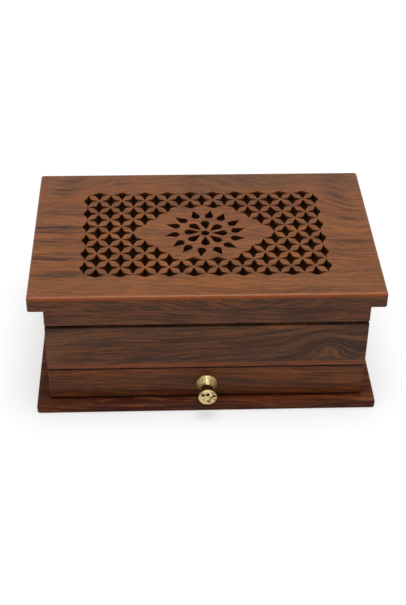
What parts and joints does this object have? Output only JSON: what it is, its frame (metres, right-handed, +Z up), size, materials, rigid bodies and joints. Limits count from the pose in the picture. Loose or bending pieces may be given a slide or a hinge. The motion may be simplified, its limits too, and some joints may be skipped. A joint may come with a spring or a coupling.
{
  "type": "wooden trinket box",
  "caption": "Hardwood trinket box on a projecting base, with a drawer below and a compartment above, closed by a hinged lid cut through with four-petal fretwork.",
  "frame": {"origin": "centre of the base's underside, on the surface that the box stands on", "axes": "+Z up, the drawer front and its knob face -Y, +X to the viewer's right when facing the front; the lid is shut and the drawer is in"},
  "size_m": [0.203, 0.1522, 0.0797],
  "materials": {
    "rosewood": "satin oiled rosewood",
    "pale_wood": "plain unfinished board",
    "brass": "polished brass",
    "hinge_brass": "satin pressed brass",
    "steel": "plain steel"
  },
  "bodies": {
    "case": {"base_plate": "rosewood", "base_screw_1": "steel", "base_screw_2": "steel", "base_screw_3": "steel", "base_screw_4": "steel", "front_panel": "rosewood", "back_panel": "rosewood", "side_panel_left": "rosewood", "side_panel_right": "rosewood", "compartment_floor": "pale_wood", "hinge_left_case_leaf": "hinge_brass", "hinge_left_case_screw_1": "hinge_brass", "hinge_left_case_screw_2": "hinge_brass", "hinge_left_pin": "hinge_brass", "hinge_right_case_leaf": "hinge_brass", "hinge_right_case_screw_1": "hinge_brass", "hinge_right_case_screw_2": "hinge_brass", "hinge_right_pin": "hinge_brass"},
    "lid": {"lid_panel": "rosewood", "lid_rail_front": "rosewood", "lid_rail_back": "rosewood", "lid_rail_left": "rosewood", "lid_rail_right": "rosewood", "hinge_left_lid_leaf": "hinge_brass", "hinge_left_lid_screw_1": "hinge_brass", "hinge_left_lid_screw_2": "hinge_brass", "hinge_right_lid_leaf": "hinge_brass", "hinge_right_lid_screw_1": "hinge_brass", "hinge_right_lid_screw_2": "hinge_brass"},
    "drawer": {"drawer_front": "rosewood", "drawer_bottom": "pale_wood", "drawer_back": "rosewood", "drawer_side_left": "rosewood", "drawer_side_right": "rosewood", "knob": "brass", "knob_screw": "steel"}
  },
  "joints": [
    {"name": "lid_hinge", "type": "hinge", "parent": "case", "child": "lid", "pos_m": [0, 0.0653, 0.0592], "axis": [-1, 0, 0], "range_deg": [0, 108]},
    {"name": "drawer_slide", "type": "slide", "parent": "case", "child": "drawer", "axis": [0, -1, 0], "range_m": [0, 0.094]}
  ]
}
